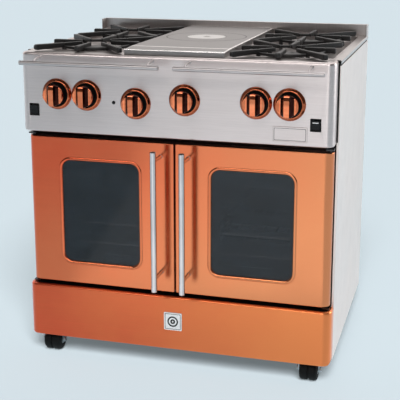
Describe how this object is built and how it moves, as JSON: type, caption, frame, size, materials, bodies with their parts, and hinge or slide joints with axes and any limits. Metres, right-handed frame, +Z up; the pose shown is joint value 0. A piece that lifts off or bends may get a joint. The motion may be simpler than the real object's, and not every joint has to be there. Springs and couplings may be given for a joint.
{
  "type": "freestanding gas range",
  "caption": "Freestanding gas range with a French top between open burners, side-hinged copper oven doors, a copper kick panel, towel rails and casters.",
  "frame": {"origin": "on the floor under the centre of the range's bounding box", "axes": "-Y is the front, +X is the right side seen from the front, +Z is up"},
  "size_m": [0.911, 0.7646, 0.954],
  "materials": {
    "stainless": "horizontally brushed",
    "side_steel": "fine satin",
    "copper": "horizontally brushed copper",
    "polished_copper": "polished copper",
    "handle_steel": "fine brushed",
    "cast_iron": "matt black cast iron",
    "grey_plate": "ground steel",
    "black_enamel": "black porcelain enamel",
    "dark_glass": "dark tempered glass",
    "black_plastic": "moulded",
    "rubber": "moulded black tread",
    "zinc": "bright zinc plate",
    "galvanized": "galvanized",
    "white_enamel": "gloss"
  },
  "bodies": {
    "chassis": {"control_panel": "stainless", "cooktop_frame": "stainless", "back_guard": "stainless", "nameplate": "stainless", "left_side_panel": "side_steel", "right_side_panel": "side_steel", "back_panel": "galvanized", "base_frame": "galvanized", "gas_manifold": "galvanized", "oven_burner": "galvanized", "kick_panel": "copper", "french_top_plate": "grey_plate", "left_towel_rail": "handle_steel", "right_towel_rail": "handle_steel", "oven_rack_1": "handle_steel", "oven_rack_2": "handle_steel", "oven_rack_3": "handle_steel", "oven_box": "black_enamel", "french_top_burner": "cast_iron", "burner_1": "cast_iron", "burner_2": "cast_iron", "burner_3": "cast_iron", "burner_4": "cast_iron", "knob_bezel_1": "polished_copper", "knob_bezel_2": "polished_copper", "knob_bezel_3": "polished_copper", "knob_bezel_4": "polished_copper", "knob_bezel_5": "polished_copper", "knob_bezel_6": "polished_copper", "indicator_lamp": "black_plastic", "badge": "white_enamel"},
    "left_door": {"left_door_skin": "copper", "left_door_liner": "black_enamel", "left_door_glass": "dark_glass", "left_door_handle": "handle_steel"},
    "right_door": {"right_door_skin": "copper", "right_door_liner": "black_enamel", "right_door_glass": "dark_glass", "right_door_handle": "handle_steel"},
    "dial_1": {"knob_1": "polished_copper"},
    "dial_2": {"knob_2": "polished_copper"},
    "dial_3": {"knob_3": "polished_copper"},
    "dial_4": {"knob_4": "polished_copper"},
    "dial_5": {"knob_5": "polished_copper"},
    "dial_6": {"knob_6": "polished_copper"},
    "oven_light_switch": {"oven_light_rocker": "black_plastic"},
    "oven_fan_switch": {"oven_fan_rocker": "black_plastic"},
    "grate_1_lift_off": {"grate_1": "cast_iron"},
    "grate_2_lift_off": {"grate_2": "cast_iron"},
    "grate_3_lift_off": {"grate_3": "cast_iron"},
    "grate_4_lift_off": {"grate_4": "cast_iron"},
    "french_top_centre": {"french_top_lid": "handle_steel"},
    "caster_1": {"caster_fork_1": "zinc"},
    "caster_1_wheel": {"caster_wheel_1": "rubber"},
    "caster_2": {"caster_fork_2": "zinc"},
    "caster_2_wheel": {"caster_wheel_2": "rubber"},
    "caster_3": {"caster_fork_3": "zinc"},
    "caster_3_wheel": {"caster_wheel_3": "rubber"},
    "caster_4": {"caster_fork_4": "zinc"},
    "caster_4_wheel": {"caster_wheel_4": "rubber"}
  },
  "joints": [
    {"name": "left_door_hinge", "type": "hinge", "parent": "chassis", "child": "left_door", "pos_m": [-0.436, -0.28325, 0.45], "axis": [0, 0, -1], "range_deg": [0, 110]},
    {"name": "right_door_hinge", "type": "hinge", "parent": "chassis", "child": "right_door", "pos_m": [0.436, -0.28325, 0.45], "axis": [0, 0, 1], "range_deg": [0, 110]},
    {"name": "dial_1_turn", "type": "hinge", "parent": "chassis", "child": "dial_1", "pos_m": [-0.339, -0.34575, 0.802], "axis": [0, -1, 0], "range_deg": [0, 270]},
    {"name": "dial_2_turn", "type": "hinge", "parent": "chassis", "child": "dial_2", "pos_m": [-0.25, -0.34575, 0.802], "axis": [0, -1, 0], "range_deg": [0, 270]},
    {"name": "dial_3_turn", "type": "hinge", "parent": "chassis", "child": "dial_3", "pos_m": [-0.104, -0.34575, 0.785], "axis": [0, -1, 0], "range_deg": [0, 300]},
    {"name": "dial_4_turn", "type": "hinge", "parent": "chassis", "child": "dial_4", "pos_m": [0.038, -0.34575, 0.801], "axis": [0, -1, 0], "range_deg": [0, 270]},
    {"name": "dial_5_turn", "type": "hinge", "parent": "chassis", "child": "dial_5", "pos_m": [0.238, -0.34575, 0.803], "axis": [0, -1, 0], "range_deg": [0, 270]},
    {"name": "dial_6_turn", "type": "hinge", "parent": "chassis", "child": "dial_6", "pos_m": [0.329, -0.34575, 0.803], "axis": [0, -1, 0], "range_deg": [0, 270]},
    {"name": "oven_light_switch_tilt", "type": "hinge", "parent": "chassis", "child": "oven_light_switch", "pos_m": [-0.4105, -0.32075, 0.7548], "axis": [-1, 0, 0], "range_deg": [0, 10]},
    {"name": "oven_fan_switch_tilt", "type": "hinge", "parent": "chassis", "child": "oven_fan_switch", "pos_m": [0.4005, -0.32075, 0.7515], "axis": [-1, 0, 0], "range_deg": [0, 10]},
    {"name": "grate_1_lift", "type": "slide", "parent": "chassis", "child": "grate_1_lift_off", "axis": [0, 0, 1], "range_m": [0, 0.06]},
    {"name": "grate_2_lift", "type": "slide", "parent": "chassis", "child": "grate_2_lift_off", "axis": [0, 0, 1], "range_m": [0, 0.06]},
    {"name": "grate_3_lift", "type": "slide", "parent": "chassis", "child": "grate_3_lift_off", "axis": [0, 0, 1], "range_m": [0, 0.06]},
    {"name": "grate_4_lift", "type": "slide", "parent": "chassis", "child": "grate_4_lift_off", "axis": [0, 0, 1], "range_m": [0, 0.06]},
    {"name": "french_top_centre_lift", "type": "slide", "parent": "chassis", "child": "french_top_centre", "axis": [0, 0, 1], "range_m": [0, 0.05]},
    {"name": "caster_1_swivel", "type": "hinge", "parent": "chassis", "child": "caster_1", "pos_m": [-0.393, -0.25775, 0.078], "axis": [0, 0, 1], "continuous": true},
    {"name": "caster_1_roll", "type": "hinge", "parent": "caster_1", "child": "caster_1_wheel", "pos_m": [-0.393, -0.27575, 0.032], "axis": [1, 0, 0], "continuous": true},
    {"name": "caster_2_swivel", "type": "hinge", "parent": "chassis", "child": "caster_2", "pos_m": [0.393, -0.25775, 0.078], "axis": [0, 0, 1], "continuous": true},
    {"name": "caster_2_roll", "type": "hinge", "parent": "caster_2", "child": "caster_2_wheel", "pos_m": [0.393, -0.27575, 0.032], "axis": [1, 0, 0], "continuous": true},
    {"name": "caster_3_swivel", "type": "hinge", "parent": "chassis", "child": "caster_3", "pos_m": [-0.393, 0.31425, 0.078], "axis": [0, 0, 1], "continuous": true},
    {"name": "caster_3_roll", "type": "hinge", "parent": "caster_3", "child": "caster_3_wheel", "pos_m": [-0.393, 0.29625, 0.032], "axis": [1, 0, 0], "continuous": true},
    {"name": "caster_4_swivel", "type": "hinge", "parent": "chassis", "child": "caster_4", "pos_m": [0.393, 0.31425, 0.078], "axis": [0, 0, 1], "continuous": true},
    {"name": "caster_4_roll", "type": "hinge", "parent": "caster_4", "child": "caster_4_wheel", "pos_m": [0.393, 0.29625, 0.032], "axis": [1, 0, 0], "continuous": true}
  ]
}
